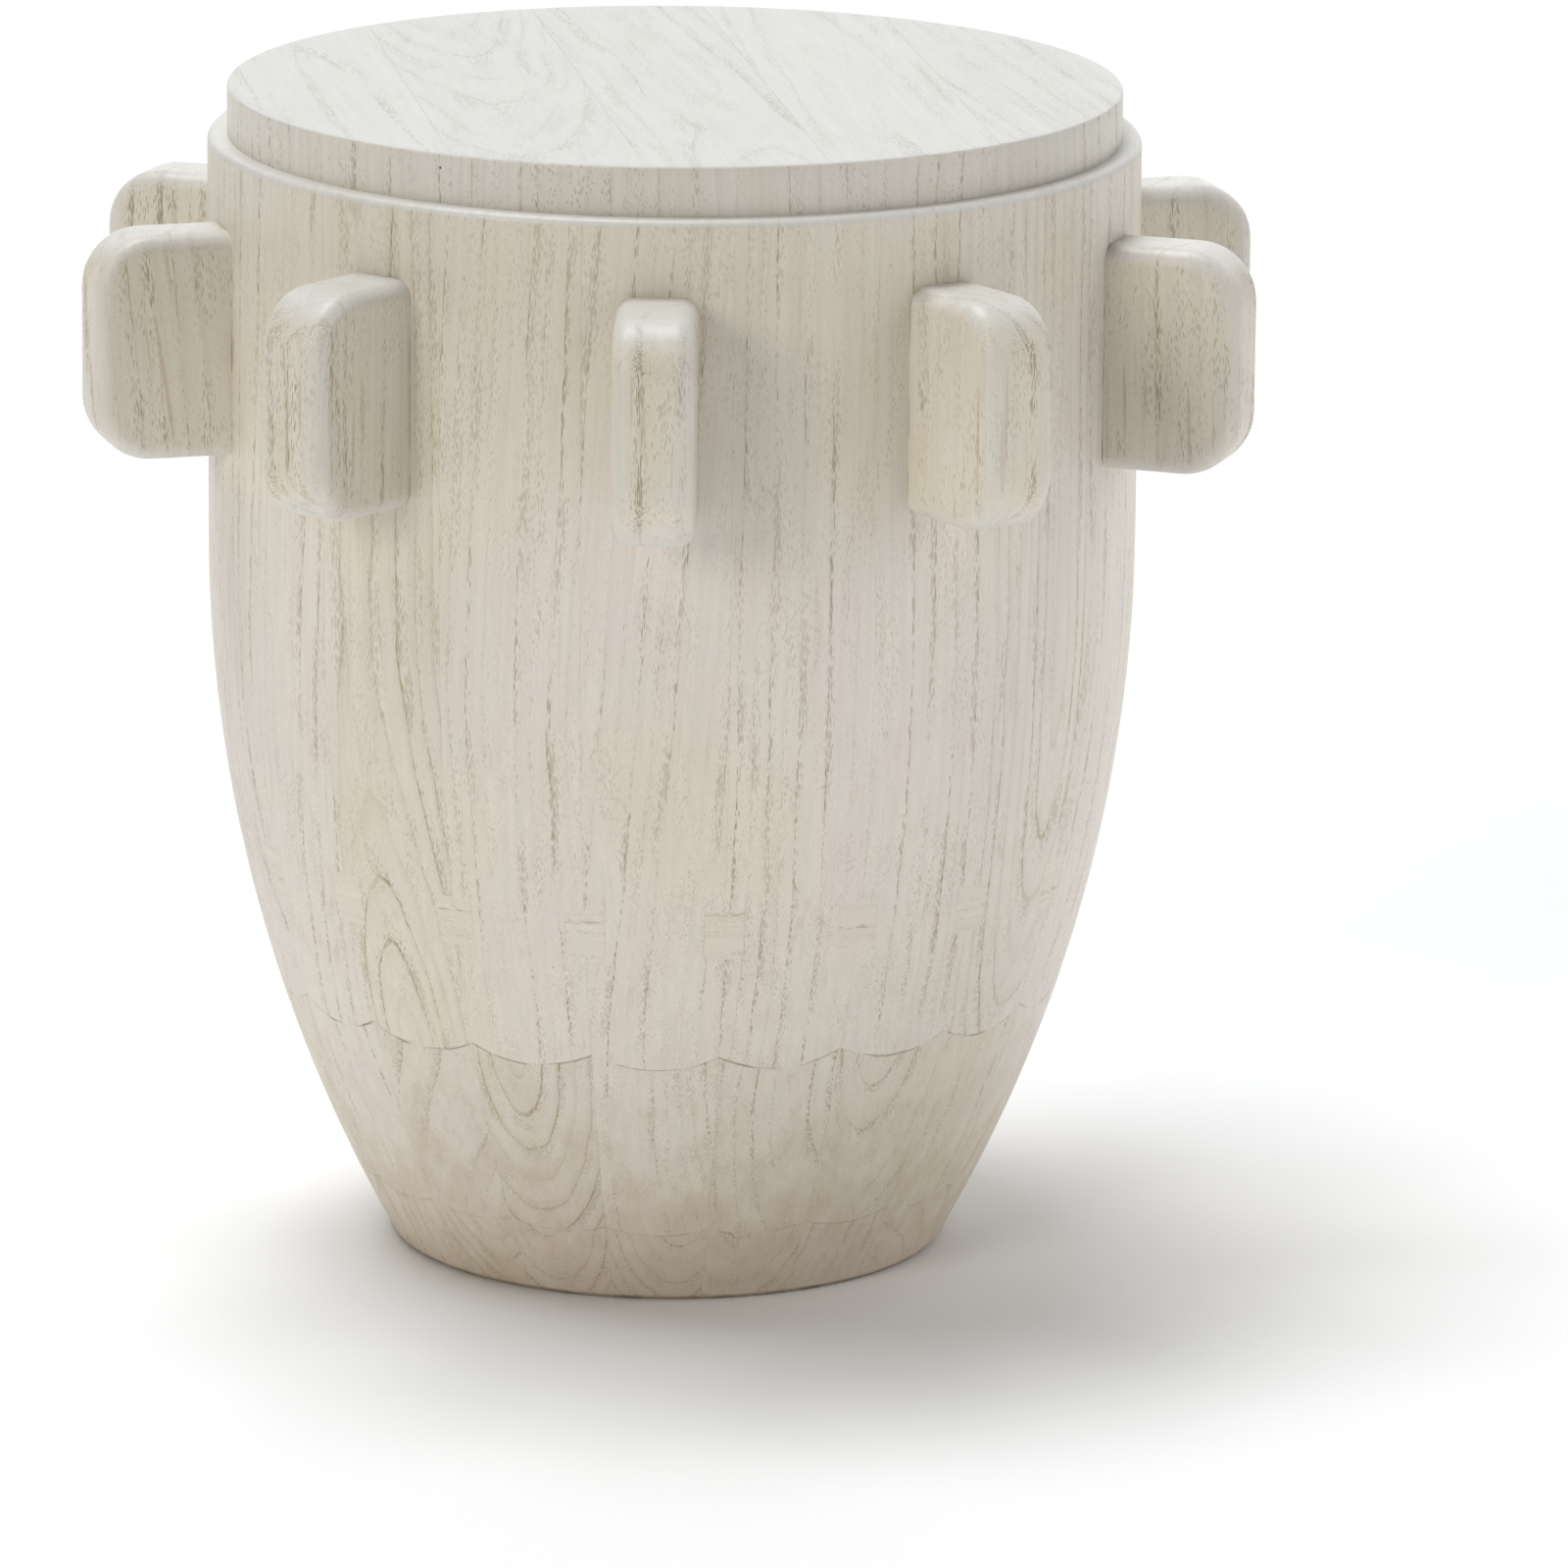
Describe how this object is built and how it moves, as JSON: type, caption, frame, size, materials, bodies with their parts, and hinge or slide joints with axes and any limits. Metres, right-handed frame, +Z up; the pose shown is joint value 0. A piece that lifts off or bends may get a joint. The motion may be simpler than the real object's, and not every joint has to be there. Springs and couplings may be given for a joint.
{
  "type": "wooden pouf",
  "caption": "Whitewashed wooden drum stool or side table: coopered staves turned to a tapering drum, a ring of rounded radial fins below the rim, and a flat round top.",
  "frame": {"origin": "centre of the foot ring, on the floor, on the drum's axis", "axes": "+Z up along the drum's axis, -Y towards the first fin"},
  "size_m": [0.4414, 0.458, 0.45],
  "materials": {
    "stave_wood": "satin whitewash with open pores",
    "foot_wood": "satin whitewash with open pores",
    "fin_wood": "satin whitewash, rounded edges",
    "top_wood": "satin whitewash with faint grain",
    "spline_wood": "satin whitewash",
    "dowel_wood": "bare"
  },
  "bodies": {
    "root": {"stave_01": "stave_wood", "stave_02": "stave_wood", "stave_03": "stave_wood", "stave_04": "stave_wood", "stave_05": "stave_wood", "stave_06": "stave_wood", "stave_07": "stave_wood", "stave_08": "stave_wood", "stave_09": "stave_wood", "stave_10": "stave_wood", "stave_11": "stave_wood", "stave_12": "stave_wood", "stave_13": "stave_wood", "stave_14": "stave_wood", "stave_15": "stave_wood", "stave_16": "stave_wood", "stave_17": "stave_wood", "stave_18": "stave_wood", "stave_19": "stave_wood", "stave_20": "stave_wood", "foot_block_01": "foot_wood", "foot_block_02": "foot_wood", "foot_block_03": "foot_wood", "foot_block_04": "foot_wood", "foot_block_05": "foot_wood", "foot_block_06": "foot_wood", "foot_block_07": "foot_wood", "foot_block_08": "foot_wood", "foot_block_09": "foot_wood", "foot_block_10": "foot_wood", "foot_block_11": "foot_wood", "foot_block_12": "foot_wood", "foot_block_13": "foot_wood", "foot_block_14": "foot_wood", "foot_block_15": "foot_wood", "foot_block_16": "foot_wood", "foot_block_17": "foot_wood", "foot_block_18": "foot_wood", "foot_block_19": "foot_wood", "foot_block_20": "foot_wood", "inner_foot_blocks": "foot_wood", "stave_splines": "spline_wood", "fin_01": "fin_wood", "fin_02": "fin_wood", "fin_03": "fin_wood", "fin_04": "fin_wood", "fin_05": "fin_wood", "fin_06": "fin_wood", "fin_07": "fin_wood", "fin_08": "fin_wood", "fin_09": "fin_wood", "fin_10": "fin_wood", "fin_dowels": "dowel_wood", "top_board_1": "top_wood", "top_board_2": "top_wood", "top_board_3": "top_wood", "top_board_4": "top_wood", "top_board_5": "top_wood", "top_dowels": "dowel_wood"}
  },
  "joints": []
}
